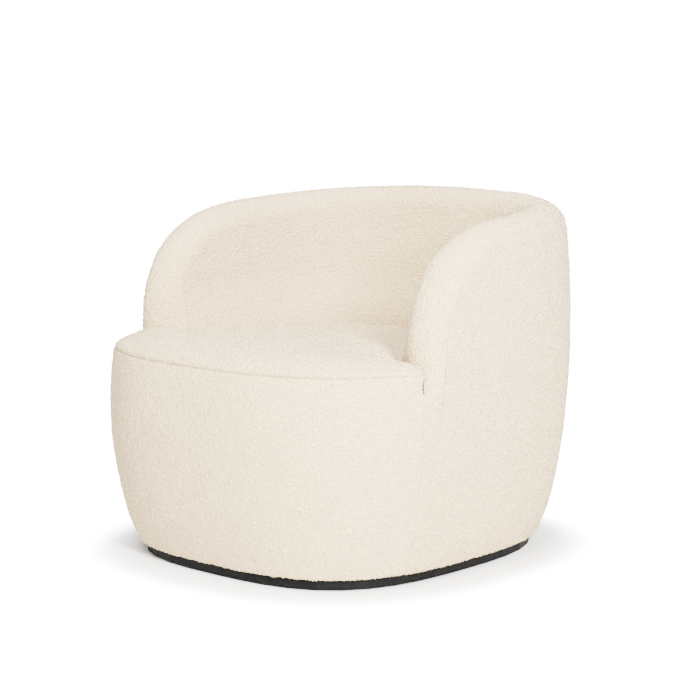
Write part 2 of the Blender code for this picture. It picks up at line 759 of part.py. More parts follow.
def seat_levels(depth):
    """Rings from the seat's edge to its middle, as (side z, front z, distance in)."""
    crown = SEAT_SEAM_Z + SEAT_CROWN - depth
    side = crown - SEAT_SIDE_ROLL
    front = SEAT_SEAM_Z + SEAT_SEAM_GAP + 0.0015 - depth
    return [
        (side, front, 0.0),
        (side + 0.028, crown - 0.011, 0.018),
        (crown - 0.008, crown - 0.005, 0.065),
        (crown - 0.002, crown - 0.0015, 0.15),
        (crown, crown, 0.27),
    ]


def seat():
    foam_rings = [seat_ring(SEAT_FOAM_Z, SEAT_FOAM_Z, 0.0, SEAT_FOAM_DEPTH)]
    foam_rings += [seat_ring(*level, SEAT_FOAM_DEPTH) for level in seat_levels(SEAT_FOAM_DEPTH)]
    solid("seat_foam", foam_rings, FOAM)
    cover = [seat_ring(CLOTH_LOW_Z, SEAT_SEAM_Z + SEAT_SEAM_GAP, 0.0, 0.0)]
    cover += [seat_ring(*level, 0.0) for level in seat_levels(0.0)]
    columns = [list(column) for column in zip(*cover)]
    surface("seat_cover", columns, BOUCLE, CLOTH, closed=True)


# ---- covers ----

def hem_return(way):
    inset = skin_inset(way, HEM_Z)
    return [(inset + HEM_RETURN, HEM_Z + 0.001), (inset + 0.003, HEM_Z - 0.0002)]


def outside_section(way):
    return hem_return(way) + outer_side(way, FOAM_LOW_Z, wall_top(way) - RIM_SEAM_DROP, 0.0, WALL_SHARES)


def inside_section(way):
    top = wall_top(way)
    steepness = (wall_top(way * 0.999) - wall_top(way)) / max(abs(way) * 0.001, 0.0001)
    gap = min(RIM_SEAM_GAP * math.hypot(1, steepness), RIM_SEAM_DROP / 2)
    crest = outer_side(way, top - RIM_SEAM_DROP + gap, top, 0.0, CREST_SHARES)
    return crest + inner_side(way, 0.0)


def cover(name, ways, section):
    """Cloth laid over the foam; ways run to the sitter's left, sections from the outside in."""
    surface(name, swept(ways, section), BOUCLE, CLOTH)


def covers():
    end = ARM_WAY - SEAM_GAP / 2
    inside_seam = way_at(BACK_SEAM_ANGLE)
    outside_seam = way_at(OUTSIDE_SEAM_ANGLE)
    half = SEAM_GAP / 2
    cover("inside_back_cover", stations(-inside_seam + half, inside_seam - half), inside_section)
    cover("outside_back_cover", stations(-outside_seam + half, outside_seam - half), outside_section)
    left_inside = stations(inside_seam + half, end)
    left_outside = stations(outside_seam + half, end)
    cover("inside_arm_cover_left", left_inside, inside_section)
    cover("outside_arm_cover_left", left_outside, outside_section)
    cover("inside_arm_cover_right", [-way for way in reversed(left_inside)], inside_section)
    cover("outside_arm_cover_right", [-way for way in reversed(left_outside)], outside_section)


def apron_cover():
    def section(way):
        return hem_return(way) + [(skin_inset(way, z), z) for z in APRON_HEIGHTS]

    cover("apron_cover", front_stations(SEAM_GAP / 2), section)


def plinth_skirt():
    """Black stepped ring under the bottom frame. It follows the hem and hides the base."""
    outer = skin_inset(0, HEM_Z) + HEM_RETURN + PLINTH_GAP
    step, inner = outer + PLINTH_STEP, outer + PLINTH
    low, high = FOAM_LOW_Z - TOUCH, FRAME_Z - DUST_COVER - 2 * TOUCH
    foot = PLINTH_Z
    section = [(outer, foot), (outer, low), (step, low), (step, high), (inner, high), (inner, foot)]
    work = bmesh.new()
    rings = [[work.verts.new(place(way, inset, z)) for inset, z in section] for way in RING_WAYS]
    for ring, after in zip(rings, rings[1:] + rings[:1]):
        for one, two, three, four in zip(ring, ring[1:] + ring[:1], after[1:] + after[:1], after):
            work.faces.new((one, two, three, four))
    bmesh.ops.recalc_face_normals(work, faces=work.faces)
    add("plinth_skirt", mesh_from("plinth_skirt", work), BLACK_PAINT)


def dust_cover():
    edge = skin_inset(0, FRAME_Z) + FOAM_DEPTH + OUTER_FOAM + 0.012
    outlines = [ring_outline(edge), circle_outline(DUST_COVER_HOLE, 32)]
    lining = sheet("dust_cover", outlines, DUST_COVER, BLACK_LINING)
    lining.location.z = FRAME_Z - TOUCH - DUST_COVER / 2


def main():
    floor_base()
    swivel()
    frame_rings()
    uprights()
    top_rail()
    springs()
    wall_foam()
    apron_foam()
    seat()
    covers()
    apron_cover()
    plinth_skirt()
    dust_cover()


clear_scene()
GROUPS = {"parts": new_collection(COLLECTION), "cutters": new_collection("cutters")}
main()
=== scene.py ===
"""Looks of an upholstered tub armchair on a low swivel base: cream cloth, foam, timber and steel."""

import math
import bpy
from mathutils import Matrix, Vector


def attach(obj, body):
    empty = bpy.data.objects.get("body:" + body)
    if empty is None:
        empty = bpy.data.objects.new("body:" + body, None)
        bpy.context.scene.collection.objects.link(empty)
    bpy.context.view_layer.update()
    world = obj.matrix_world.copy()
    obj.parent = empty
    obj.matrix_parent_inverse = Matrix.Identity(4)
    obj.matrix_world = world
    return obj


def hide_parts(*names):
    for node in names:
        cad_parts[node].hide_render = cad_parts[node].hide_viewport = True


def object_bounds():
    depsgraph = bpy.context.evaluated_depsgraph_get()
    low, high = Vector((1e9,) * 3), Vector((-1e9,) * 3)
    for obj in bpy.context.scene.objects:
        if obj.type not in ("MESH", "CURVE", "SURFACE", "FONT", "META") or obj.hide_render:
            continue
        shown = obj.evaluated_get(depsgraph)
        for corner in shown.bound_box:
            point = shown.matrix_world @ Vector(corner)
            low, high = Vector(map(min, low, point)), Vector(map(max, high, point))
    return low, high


bl_info = {
    "name": "Upholstered Tub Armchair",
    "version": (1, 0, 0),
    "blender": (4, 5, 0),
    "location": "View3D > Sidebar > Armchair",
    "description": "Builds the cloth, cushions and finishes of a swivelling tub armchair around its frame",
    "category": "Object",
}

import bpy
import numpy as np
from mathutils import Vector, noise

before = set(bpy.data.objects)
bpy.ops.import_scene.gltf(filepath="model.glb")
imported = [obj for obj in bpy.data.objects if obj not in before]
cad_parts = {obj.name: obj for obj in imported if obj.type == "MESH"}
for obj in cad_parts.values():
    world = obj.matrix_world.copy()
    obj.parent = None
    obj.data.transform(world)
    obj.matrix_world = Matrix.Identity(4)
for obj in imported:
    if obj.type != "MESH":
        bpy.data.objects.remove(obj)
CAD_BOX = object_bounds()
SEAT_BODY = "seat_body"


# ---- settings ----

class ArmchairShape(bpy.types.PropertyGroup):
    """Sizes of the upholstery. Lengths are in metres."""

    width: bpy.props.FloatProperty(
        name="Width", description="Widest outline from side to side", default=0.82, unit="LENGTH")
    depth_front: bpy.props.FloatProperty(
        name="Depth in front", description="Swivel axis to the outline's front", default=0.426,
        unit="LENGTH")
    depth_back: bpy.props.FloatProperty(
        name="Depth behind", description="Swivel axis to the outline's back", default=0.447,
        unit="LENGTH")
    height: bpy.props.FloatProperty(
        name="Height", description="Floor to the crest of the back", default=CAD_BOX[1][2],
        unit="LENGTH")
    squareness: bpy.props.FloatProperty(
        name="Squareness", description="2 is an ellipse, higher is squarer", default=2.75)
    wall: bpy.props.FloatProperty(
        name="Wall", description="Thickness of the back and arms", default=0.09, unit="LENGTH")
    hem_height: bpy.props.FloatProperty(
        name="Hem height", description="Floor to the underside of the hem", default=0.0225,
        unit="LENGTH")
    arm_front: bpy.props.FloatProperty(
        name="Arm front", description="How far before the axis the arms end", default=0.188,
        unit="LENGTH")
    arm_foot: bpy.props.FloatProperty(
        name="Arm foot", description="Height where the arm's round front starts", default=0.395,
        unit="LENGTH")
    seat_seam: bpy.props.FloatProperty(
        name="Seat seam", description="Height of the seam between seat and apron", default=0.408,
        unit="LENGTH")
    seat_crown: bpy.props.FloatProperty(
        name="Seat crown", description="Rise of the seat above its front seam", default=0.024,
        unit="LENGTH")
    cloth_step: bpy.props.FloatProperty(
        name="Cloth step", description="Spacing of the cloth's points", default=0.0026,
        unit="LENGTH")
    nub_size: bpy.props.FloatProperty(
        name="Nub size", description="Spacing of the cloth's curled nubs", default=0.0050,
        unit="LENGTH")
    nub_height: bpy.props.FloatProperty(
        name="Nub height", description="How far the nubs stand up", default=0.0026, unit="LENGTH")


class ArmchairFinish(bpy.types.PropertyGroup):
    """Colours of the cloth and of the parts inside."""

    cloth: bpy.props.FloatVectorProperty(
        name="Cloth", description="Colour of the loops", subtype="COLOR", size=3,
        default=(0.97, 0.785, 0.40))
    # Painted shade: darker colour put between the loops and on low nubs, standing in for shade in the
    # cloth's crevices.
    cloth_painted_shade: bpy.props.FloatVectorProperty(
        name="Cloth shade", description="Colour between the loops", subtype="COLOR", size=3,
        default=(0.72, 0.50, 0.24))
    foam: bpy.props.FloatVectorProperty(
        name="Foam", description="Upholstery foam", subtype="COLOR", size=3,
        default=(0.86, 0.76, 0.50))
    timber: bpy.props.FloatVectorProperty(
        name="Timber", description="Birch plywood", subtype="COLOR", size=3,
        default=(0.66, 0.48, 0.29))
    lacquer: bpy.props.FloatVectorProperty(
        name="Lacquer", description="Base disc and plinth skirt", subtype="COLOR", size=3,
        default=(0.002, 0.002, 0.002))
    floor: bpy.props.FloatVectorProperty(
        name="Floor", description="Studio floor and backdrop", subtype="COLOR", size=3,
        default=(0.93, 0.93, 0.93))


# ---- the tub's geometry ----

WIDEST_Z = 0.447
HEM_TUCK = 0.046
HEM_CURL = 0.019
RIM_TUCK = 0.019
RIM_DROP = 0.049
RIM_DROP_POWER = 1.65
ARM_CURVE_LENGTH = 0.279
ARM_CURVE_POWER = 2.7
APRON_TUCK = 0.017
APRON_TUCK_Z = 0.22
APRON_FADE = 0.10
SEAT_SWELL = 0.020
SWELL_LOW_Z = 0.40
SWELL_HIGH_Z = 0.52
RIM_SEAM_TURN = math.radians(62)
NOSE_SEAM_TURN = math.radians(33)
NOSE_SEAM_LENGTH = 0.30
BACK_SEAM_ANGLE = math.radians(53)
OUTSIDE_SEAM_ANGLE = math.radians(38)
CREASE_Z = 0.335
SEAM_HALF = 0.0003
OUTLINE_POINTS = 5761
SIDE_FROM = 0.3
SIDE_SHORT_OF_FRONT = 0.05
CREST_POINTS = (200, 400)
CREST_FINE_SHARE = 0.1
OUTLINE_PROBE = 0.004
CREST_PROBE = 0.002


def smoothstep(value):
    """Smooth rise from 0 to 1 over the same range."""
    value = np.clip(value, 0, 1)
    return value * value * (3 - 2 * value)


class Tub:
    """Outline, crest and faces of the tub, worked out from the shape settings.

    A place on it is the way along the outline from the middle of the back (positive to the sitter's
    left), the inset from the outline along its normal, and the height.
    """

    def __init__(self, shape):
        self.shape = shape
        self.half_wall = shape.wall / 2
        angles = np.linspace(-2 * math.pi, 2 * math.pi, OUTLINE_POINTS)
        depth = np.where(np.cos(angles) > 0, shape.depth_back, shape.depth_front)
        power = shape.squareness
        across = np.abs(np.sin(angles) / (shape.width / 2)) ** power
        along = np.abs(np.cos(angles) / depth) ** power
        radii = (across + along) ** (-1 / power)
        self.angles = angles
        self.x = radii * np.sin(angles)
        self.y = radii * np.cos(angles)
        run = np.concatenate([[0], np.cumsum(np.hypot(np.diff(self.x), np.diff(self.y)))])
        self.run = run - run[len(run) // 2]
        self.half_round = self.run[-1] / 2
        side = (self.run > SIDE_FROM) & (self.run < self.half_round - SIDE_SHORT_OF_FRONT)
        self.arm_way = float(np.interp(shape.arm_front, -self.y[side], self.run[side]))
        even, fine = CREST_POINTS
        near_end = CREST_FINE_SHARE * np.linspace(1, 0, fine)[1:] ** 3
        ends = np.append(np.linspace(0, 1 - CREST_FINE_SHARE, even), 1 - near_end)
        self.crest_ways = self.arm_way * ends
        self.crest_heights = self.crest(self.crest_ways)
        steps = np.hypot(np.diff(self.crest_ways), np.diff(self.crest_heights))
        self.crest_run = np.concatenate([[0], np.cumsum(steps)])

    def way_at(self, angle):
        """Way along the outline at an angle about the swivel axis from the middle of the back."""
        return float(np.interp(angle, self.angles, self.run))

    def spot(self, way, inset, z):
        """Points in space of places on the tub."""
        way, inset, z = np.broadcast_arrays(way, inset, z)
        before, after = way - OUTLINE_PROBE, way + OUTLINE_PROBE
        dx = np.interp(after, self.run, self.x) - np.interp(before, self.run, self.x)
        dy = np.interp(after, self.run, self.y) - np.interp(before, self.run, self.y)
        length = np.hypot(dx, dy)
        x = np.interp(way, self.run, self.x) + dy / length * inset
        y = np.interp(way, self.run, self.y) - dx / length * inset
        return np.stack([x, y, z], axis=-1)

    def round_way(self, way):
        """Shortest way from the middle of the back, from either side."""
        return self.half_round - np.abs(self.half_round - np.abs(way))

    def skin(self, way, z):
        """Inset of the outer face."""
        shape = self.shape
        low = np.clip((WIDEST_Z - z) / (WIDEST_Z - shape.hem_height), 0, 1)
        high = np.clip((z - WIDEST_Z) / (shape.height - WIDEST_Z), 0, 1)
        inset = HEM_TUCK * low**2 + HEM_CURL * low**8 + RIM_TUCK * high**2
        fade = smoothstep((self.round_way(way) - self.arm_way) / APRON_FADE)
        lean = np.clip((z - APRON_TUCK_Z) / (shape.seat_seam - APRON_TUCK_Z), 0, 2)
        return inset + APRON_TUCK * fade * lean**2

    def rim(self, way):
        """Height of the rim, which drops towards the arms."""
        return self.shape.height - RIM_DROP * (np.abs(way) / self.arm_way) ** RIM_DROP_POWER

    def crest(self, way):
        """Top of the wall: the rim, then the rounded front of the arm."""
        foot = self.shape.arm_foot
        share = np.clip((self.arm_way - np.abs(way)) / ARM_CURVE_LENGTH, 0, 1)
        rise = (1 - (1 - share) ** ARM_CURVE_POWER) ** (1 / ARM_CURVE_POWER)
        return foot + (self.rim(way) - foot) * rise

    def swell(self, z):
        """How much further in the padding stands low down, where the seat meets it."""
        return SEAT_SWELL * (1 - smoothstep((z - SWELL_LOW_Z) / (SWELL_HIGH_Z - SWELL_LOW_Z)))

    def columns(self, start, end):
        """Columns of a wall panel: places on the crest, directions down the wall, ways at the foot,
        and how far round the wall's top the rim seam lies.

        Places and directions are (way, height) pairs. At an arm's front the columns turn about the
        foot of its crest until they point straight down.
        """
        if end <= 0:
            crest, down, foot, seam = self.columns(-end, -start)
            return crest[::-1] * (-1, 1), down[::-1] * (-1, 1), -foot[::-1], seam[::-1]
        step = self.shape.cloth_step
        low, high = (math.copysign(np.interp(abs(way), self.crest_ways, self.crest_run), way)
                     for way in (start, end))
        runs = np.linspace(low, high, round((high - low) / step))
        side = np.where(runs < 0, -1, 1)
        lines = (self.crest_ways, self.crest_heights)
        places = [np.interp(np.abs(runs), self.crest_run, line) for line in lines]
        ahead = [np.interp(np.abs(runs) + CREST_PROBE, self.crest_run, line)
                 - np.interp(np.abs(runs) - CREST_PROBE, self.crest_run, line) for line in lines]
        length = np.hypot(*ahead)
        crest = np.stack([side * places[0], places[1]], axis=1)
        rise = smoothstep((self.crest_run[-1] - np.abs(runs)) / NOSE_SEAM_LENGTH)
        seam = NOSE_SEAM_TURN + (RIM_SEAM_TURN - NOSE_SEAM_TURN) * rise
        down = np.stack([side * ahead[1] / length, -ahead[0] / length], axis=1)
        if end >= self.arm_way - 1e-6:
            turns = np.arange(0, math.pi / 2, step / self.half_wall)[1:]
            turns = np.append(turns, math.pi / 2)
            end_of_crest = np.repeat([[self.arm_way, self.shape.arm_foot]], len(turns), axis=0)
            crest = np.concatenate([crest, end_of_crest])
            down = np.concatenate([down, np.stack([-np.cos(turns), -np.sin(turns)], axis=1)])
            seam = np.append(seam, np.full(len(turns), NOSE_SEAM_TURN))
        share = (crest[:, 0] - start) / (end - start)
        evenly = np.linspace(0, 1, len(share))
        return crest, down, start + (end - start) * (0.5 * share + 0.5 * evenly), seam


def wall_rows(tub, columns, first, low):
    """Round top of a wall panel and its face down to a height.

    The result is the ways, the heights and the shares of the half wall that each point stands from
    its middle. First holds the turn round the wall's top where each column starts.
    """
    crest, down, foot, _ = columns
    bend = tub.half_wall
    share = np.linspace(0, 1, round(bend * (math.pi / 2 - first.min()) / tub.shape.cloth_step))
    turns = first[:, None] + (math.pi / 2 - first[:, None]) * share
    top = crest[:, None] + down[:, None] * (bend * (1 - np.cos(turns)))[..., None]
    share = np.linspace(0, 1, round((tub.shape.height - low) / tub.shape.cloth_step))[1:, None]
    bottom = np.stack([foot, np.full(len(foot), low)], axis=1)
    face = top[:, -1:] + (bottom[:, None] - top[:, -1:]) * share
    spots = np.concatenate([top, face], axis=1)
    across = np.concatenate([np.sin(turns), np.ones(face.shape[:2])], axis=1)
    return spots[..., 0], spots[..., 1], across


def outside_points(tub, start, end):
    """Outer face from the rim seam down to the hem's return."""
    columns = tub.columns(start, end)
    seam = columns[3]
    ways, heights, across = wall_rows(tub, columns, seam, tub.shape.hem_height + HEM_LIFT)
    insets = tub.skin(ways, heights) + tub.half_wall * (1 - across)
    return hem(tub, ways, insets, heights)


def inside_points(tub, start, end):
    """Inner face from the crease behind the seat up over the crest to the rim seam."""
    columns = tub.columns(start, end)
    seam = columns[3]
    ways, heights, across = wall_rows(tub, columns, -seam, CREASE_Z)
    insets = tub.skin(ways, heights) + tub.half_wall * (1 + across)
    insets += tub.swell(heights) * np.maximum(across, 0) ** 2
    return tub.spot(ways, insets, heights)[:, ::-1]


HEM_LIFT = 0.004
HEM_ROLL = ((0.0016, 0.0020), (0.0040, 0.0006), (0.0065, 0.0), (0.0090, 0.0004))


def hem(tub, ways, insets, heights):
    """Points of an outer panel, with its lowest edge rolled under."""
    rolled = [(insets[:, -1] + inwards, tub.shape.hem_height + up) for inwards, up in HEM_ROLL]
    insets = np.concatenate([insets, np.stack([inset for inset, _ in rolled], axis=1)], axis=1)
    lows = np.array([[z for _, z in rolled]] * len(heights))
    heights = np.concatenate([heights, lows], axis=1)
    ways = np.concatenate([ways, np.repeat(ways[:, -1:], len(rolled), axis=1)], axis=1)
    return tub.spot(ways, insets, heights)


def apron_points(tub):
    """Front of the seat's box, from the seat seam down to the hem's return, with folds by the arms."""
    shape = tub.shape
    low = shape.hem_height + HEM_LIFT
    start, end = tub.arm_way + SEAM_HALF, 2 * tub.half_round - tub.arm_way - SEAM_HALF
    line = np.linspace(start, end, round((end - start) / shape.cloth_step))
    levels = np.linspace(shape.seat_seam, low, round((shape.seat_seam - low) / shape.cloth_step))
    ways, heights = np.meshgrid(line, levels, indexing="ij")
    away = np.minimum(ways - start, end - ways)
    insets = tub.skin(ways, heights) + puckers(away, shape.seat_seam - heights)
    return hem(tub, ways, insets, heights)


PUCKERS = ((0.35, 0.0028), (0.85, 0.0038), (1.25, 0.0026))
PUCKER_ROOT = 0.012
PUCKER_START = 0.012
PUCKER_REACH = 0.055
PUCKER_SPREAD = 0.13


def puckers(away, below):
    """Depth of the slit under an arm and of the folds that run out from it.

    Away is the distance from the arm, and below is the distance under the seat seam. Each fold is
    its bearing below the level and its depth.
    """
    root = np.hypot(away, below - PUCKER_ROOT)
    bearing = np.arctan2(below - PUCKER_ROOT, away)
    ramp = smoothstep(root / PUCKER_START) * np.exp(-((root / PUCKER_REACH) ** 2))
    depth = 0
    for turn, size in PUCKERS:
        depth = depth + size * np.exp(-(((bearing - turn) / PUCKER_SPREAD) ** 2))
    return depth * ramp + SLIT_DEPTH * slit(away, below)


SLIT_DEPTH = 0.0035
# Painted shade: how far the slit lowers the level that colours the cloth, turning the gap near black as
# shade inside it.
SLIT_SHADE_TONE = 4.5
SLIT_WIDTH = 0.0046
SLIT_MIDDLE = 0.020
SLIT_HALF = 0.019


def slit(away, below):
    """Strength of the narrow gap left where the seat's box meets an arm, under the seat seam."""
    upright = smoothstep(2 - 2 * np.abs(below - SLIT_MIDDLE) / SLIT_HALF)
    return np.exp(-((away / SLIT_WIDTH) ** 2)) * upright


# ---- cloth panels ----

TINY = 1e-12
NUB_SEED = 1
NUB_BEND = 0.25
NUB_BEND_SIZE = 2.2
NUB_GAP = 0.55
SLOW_WAVES = ((0.085, 3.0, 0.0010), (0.026, 7.0, 0.0005))
PLAIN = (0.0, 0.001)
FINE_SEAM = (0.0005, 0.0040)
RIM_SEAM = (0.0006, 0.0050)
SEAT_SEAM = (0.0042, 0.0030)
SIDE_SEAM = (0.0016, 0.0040)
SEAM_NUBS = 0.45
# Painted shade: seams deeper than this are coloured darker, as shade in the seam's crease.
CREASE_SHADE_FROM = 0.0014
CREASE_SHADE_TONE = 700.0
CLOTH_DEPTH = 0.0044
BACK_STEP = 8
# Painted shade: level that gives the backs and cut edges of panels, and the cushion's sides and underside,
# the darker between-loops colour.
PAINTED_SHADE_NUB = -0.5


def face_normals(points):
    """Unit normals of a grid of points, pointing to the side from which the rows run down."""
    along = np.gradient(points, axis=0)
    down = np.gradient(points, axis=1)
    normal = np.cross(along, down)
    return normal / np.maximum(np.linalg.norm(normal, axis=-1, keepdims=True), TINY)


def edge_runs(points):
    """Distance of each point of a grid from its four edges, along the grid's lines."""
    across = np.linalg.norm(np.diff(points, axis=0), axis=-1)
    down = np.linalg.norm(np.diff(points, axis=1), axis=-1)
    first = np.concatenate([np.zeros((1, points.shape[1])), np.cumsum(across, axis=0)])
    top = np.concatenate([np.zeros((points.shape[0], 1)), np.cumsum(down, axis=1)], axis=1)
    return first, first[-1:] - first, top, top[:, -1:] - top


def loop_heights(points, size):
    """Height of the curled nubs at each point, from -0.5 in the gaps between them to 0.5."""
    noise.seed_set(NUB_SEED)
    heights = np.empty(len(points))
    for index, spot in enumerate(points):
        spot = Vector(spot)
        bent = spot / size + NUB_BEND * noise.noise_vector(spot / (NUB_BEND_SIZE * size))
        near = noise.voronoi(bent)[0]
        heights[index] = min(near[1] - near[0], NUB_GAP) / NUB_GAP - 0.5
    return heights


def waves(points, size, seed):
    """Smooth unevenness at each point, with waves of about one size."""
    shift = Vector((seed, 2 * seed, -seed))
    return np.array([noise.noise(Vector(spot) / size + shift) for spot in points])


def shaped_cloth(points, shape, seams):
    """Grid rolled in at its seams, with the cloth's nubs and slow unevenness.

    Seams are (depth, radius) pairs of the first and last column and the first and last row. The
    result is the shaped points, the grid's normals and the nub heights, lowered in deep seams
    so that painted shade darkens the seams.
    """
    normal = face_normals(points)
    dip = np.zeros(points.shape[:2])
    fade = np.ones(points.shape[:2])
    for run, (depth, radius) in zip(edge_runs(points), seams):
        near = np.clip(1 - run / radius, 0, 1)
        dip = np.maximum(dip, depth * near**2)
        if depth:
            fade = np.minimum(fade, SEAM_NUBS + (1 - SEAM_NUBS) * np.clip(run / radius, 0, 1))
    flat = points.reshape(-1, 3)
    nubs = loop_heights(flat, shape.nub_size).reshape(dip.shape)
    slow = sum(waves(flat, size, seed) * height for size, seed, height in SLOW_WAVES)
    lift = nubs * fade * shape.nub_height + slow.reshape(dip.shape) * fade - dip
    # Painted shade: deep seams lower the level that colours the cloth, darkening them.
    painted_shade_level = nubs - np.maximum(dip - CREASE_SHADE_FROM, 0) * CREASE_SHADE_TONE
    return points + normal * lift[..., None], normal, painted_shade_level


def grid_faces(columns, rows):
    """Four-sided faces of a grid of points."""
    return [(i * rows + j, i * rows + j + 1, (i + 1) * rows + j + 1, (i + 1) * rows + j)
            for i in range(columns - 1) for j in range(rows - 1)]


def turned_over(faces):
    """The same four-sided faces, seen from their other side."""
    return [(a, d, c, b) for a, b, c, d in faces]


def cloth_panel(name, points, normal, nubs):
    """Closed panel: the grid as its face, and a coarse inner face a cloth's depth behind it."""
    columns, rows = points.shape[:2]
    vertices = list(map(tuple, points.reshape(-1, 3)))
    faces = grid_faces(columns, rows)
    picked_i = sorted({*range(0, columns, BACK_STEP), columns - 1})
    picked_j = sorted({*range(0, rows, BACK_STEP), rows - 1})
    inner = points - normal * CLOTH_DEPTH
    levels = list(nubs.ravel())
    back = {}
    for i in picked_i:
        for j in picked_j:
            back[i, j] = len(vertices)
            vertices.append(tuple(inner[i, j]))
            # Painted shade: back and edge vertices stay at or below the shaded level, so cut edges read
            # dark.
            levels.append(min(nubs[i, j], PAINTED_SHADE_NUB))
    for i, after in zip(picked_i, picked_i[1:]):
        for j, below in zip(picked_j, picked_j[1:]):
            faces.append((back[i, j], back[after, j], back[after, below], back[i, below]))
    for i, after in zip(picked_i, picked_i[1:]):
        top = [k * rows for k in range(i, after + 1)]
        faces.append((*top, back[after, 0], back[i, 0]))
        bottom = [k * rows + rows - 1 for k in range(after, i - 1, -1)]
        faces.append((*bottom, back[i, rows - 1], back[after, rows - 1]))
    last = (columns - 1) * rows
    for j, below in zip(picked_j, picked_j[1:]):
        first = list(range(below, j - 1, -1))
        faces.append((*first, back[0, j], back[0, below]))
        end = [last + k for k in range(j, below + 1)]
        faces.append((*end, back[columns - 1, below], back[columns - 1, j]))
    return new_piece(name, vertices, faces, levels)


def new_piece(name, vertices, faces, nubs):
    """Mesh object with the nub heights of its first vertices as an attribute."""
    mesh = bpy.data.meshes.new(name)
    mesh.from_pydata(vertices, [], faces)
    heights = np.full(len(vertices), PAINTED_SHADE_NUB)
    heights[:len(nubs)] = nubs
    mesh.attributes.new("nub", "FLOAT", "POINT").data.foreach_set("value", heights)
    mesh.update()
    mesh.shade_smooth()
    piece = bpy.data.objects.new(name, mesh)
    bpy.context.scene.collection.objects.link(piece)
    return piece


def finish_piece(piece, material, nodes):
    """Cloth material and body of a padded piece, with the frame nodes that it stands for hidden."""
    piece.data.materials.append(material)
    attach(piece, SEAT_BODY)
    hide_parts(*nodes)


# ---- materials ----

class Nodes:
    """Short names for building a material's nodes."""

    def __init__(self, name):
        self.material = bpy.data.materials.new(name)
        self.material.use_nodes = True
        self.tree = self.material.node_tree
        self.shader = self.tree.nodes["Principled BSDF"]
        self.coordinates = self.add("ShaderNodeTexCoord").outputs["Object"]

    def add(self, kind, inputs=None, **settings):
        node = self.tree.nodes.new(kind)
        for key, value in settings.items():
            setattr(node, key, value)
        for key, value in (inputs or {}).items():
            if isinstance(value, bpy.types.NodeSocket):
                self.tree.links.new(value, node.inputs[key])
            else:
                node.inputs[key].default_value = value
        return node

    def math(self, operation, one, two):
        return self.add("ShaderNodeMath", {0: one, 1: two}, operation=operation).outputs[0]

    def blend(self, one, two, share):
        """Sum of two values, with a share for the second."""
        return self.math("ADD", self.math("MULTIPLY", one, 1 - share), self.math("MULTIPLY", two, share))

    def noise(self, scale, detail, vector=None, roughness=0.5):
        return self.add("ShaderNodeTexNoise", {"Vector": vector or self.coordinates, "Scale": scale,
                                               "Detail": detail, "Roughness": roughness})

    def mix(self, share, one, two, blend="MIX"):
        node = self.add("ShaderNodeMix", {"Factor": share}, data_type="RGBA", blend_type=blend)
        for socket, value in ((node.inputs[6], one), (node.inputs[7], two)):
            if isinstance(value, bpy.types.NodeSocket):
                self.tree.links.new(value, socket)
            else:
                socket.default_value = (*value, 1.0)
        return node.outputs[2]

    def band(self, value, low, high):
        """0 below low and 1 above high, with a smooth rise between."""
        return self.add("ShaderNodeMapRange", {"Value": value, "From Min": low, "From Max": high},
                        interpolation_type="SMOOTHSTEP").outputs[0]

    def set(self, **values):
        for key, value in values.items():
            self.shader.inputs[key.replace("_", " ")].default_value = value

    def link(self, output, name):
        self.tree.links.new(output, self.shader.inputs[name])

    def bump(self, height, distance, strength):
        inputs = {"Height": height, "Distance": distance, "Strength": strength}
        self.link(self.add("ShaderNodeBump", inputs).outputs[0], "Normal")


# Painted shade: near-black brown put in deep seams and in the slit under each arm, where shade falls.
GAP_PAINTED_SHADE = (0.03, 0.014, 0.006)
CLOUD_TINTS = ((1.0, 0.99, 0.975), (0.985, 0.985, 0.985))


def boucle_material(finish, shape):
    """Looped cloth shaded by its modelled nubs, with finer loops and fibres and a soft sheen; its colour
    also holds painted shade, darker between the loops and on low nubs, and near black in deep seams and
    the slits.
    """
    nodes = Nodes("cream_boucle")
    nub = nodes.add("ShaderNodeAttribute", attribute_name="nub").outputs["Fac"]
    drift = nodes.noise(1 / (1.6 * shape.nub_size), 1.0).outputs["Color"]
    centred = nodes.add("ShaderNodeVectorMath", {0: drift, 1: (0.5, 0.5, 0.5)}, operation="SUBTRACT")
    shift = nodes.add("ShaderNodeVectorMath", {0: centred.outputs[0], "Scale": 0.9 * shape.nub_size},
                      operation="SCALE")
    place = nodes.add("ShaderNodeVectorMath", {0: nodes.coordinates, 1: shift.outputs[0]},
                      operation="ADD")
    loop = nodes.add("ShaderNodeTexVoronoi", {"Vector": place.outputs[0],
                                              "Scale": 1 / (0.66 * shape.nub_size)})
    fibre = nodes.noise(1500, 2.0).outputs["Fac"]
    # Painted shade: low nubs and the gaps between the loops take the darker colour, as shade in the
    # crevices.
    nub_top = nodes.band(nub, -0.60, 0.45)
    loop_top = nodes.band(loop.outputs["Distance"], 0.80, 0.15)
    height = nodes.blend(loop_top, fibre, 0.25)
    painted_shade_level = nodes.blend(nub_top, height, 0.65)
    cloth = nodes.mix(painted_shade_level, tuple(finish.cloth_painted_shade), tuple(finish.cloth))
    # Painted shade in the deep seams and the slits.
    colour = nodes.mix(nodes.band(nub, -1.2, -2.6), cloth, GAP_PAINTED_SHADE)
    cloudy = nodes.noise(7.0, 3.0).outputs["Fac"]
    tint = nodes.mix(nodes.band(cloudy, 0.3, 0.7), *CLOUD_TINTS)
    nodes.link(nodes.mix(1.0, colour, tint, "MULTIPLY"), "Base Color")
    nodes.set(Roughness=0.95, Sheen_Weight=0.2, Sheen_Roughness=0.6, Specular_IOR_Level=0.15)
    nodes.bump(height, 0.0042, 1.0)
    return nodes.material


